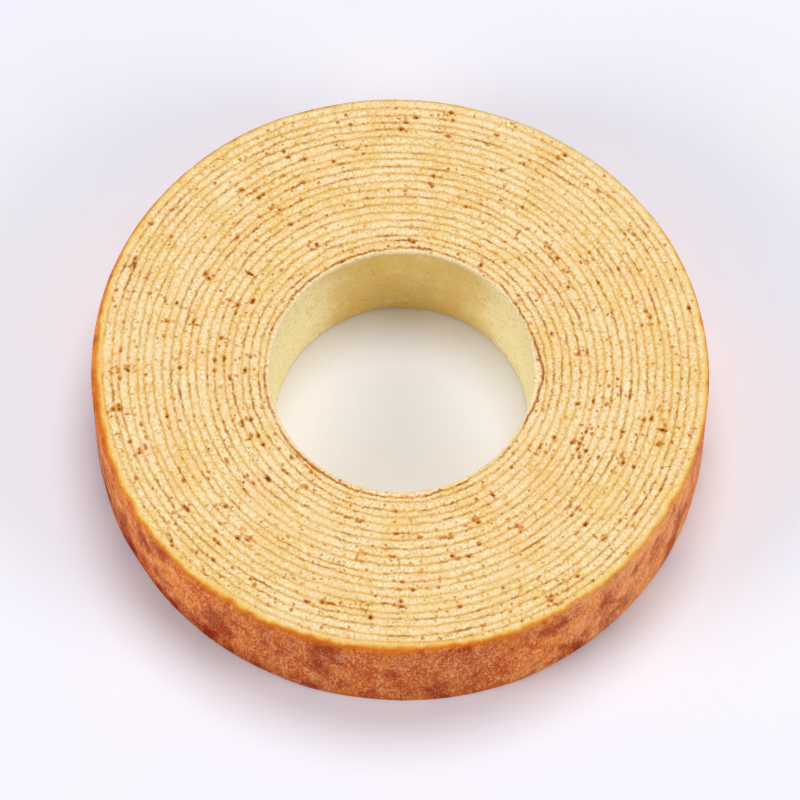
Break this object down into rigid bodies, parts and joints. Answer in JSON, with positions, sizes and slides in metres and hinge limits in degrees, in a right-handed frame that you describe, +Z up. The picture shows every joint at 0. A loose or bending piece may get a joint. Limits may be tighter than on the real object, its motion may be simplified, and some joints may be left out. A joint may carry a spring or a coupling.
{
  "type": "baumkuchen",
  "caption": "Round ring cake of thin concentric baked layers, cut flat above and below, with a browned outer crust and a plain hole.",
  "frame": {"origin": "middle of the lower cut face, on the surface that the cake lies on", "axes": "+Z up along the hole, through the flat height of the cake; -Y towards the viewer of the picture"},
  "size_m": [0.1618, 0.1626, 0.031],
  "materials": {
    "hole_skin": "smooth pale yellow cake skin, matte",
    "crumb": "fine cream-yellow cake crumb, matte, browned where layers meet",
    "crust": "mottled orange-brown baked crust, faint sheen"
  },
  "bodies": {
    "root": {"layer_01": "hole_skin", "layer_02": "crumb", "layer_03": "crumb", "layer_04": "crumb", "layer_05": "crumb", "layer_06": "crumb", "layer_07": "crumb", "layer_08": "crumb", "layer_09": "crumb", "layer_10": "crumb", "layer_11": "crumb", "layer_12": "crumb", "layer_13": "crumb", "layer_14": "crumb", "layer_15": "crumb", "layer_16": "crumb", "layer_17": "crumb", "layer_18": "crumb", "layer_19": "crumb", "layer_20": "crumb", "layer_21": "crust"}
  },
  "joints": []
}
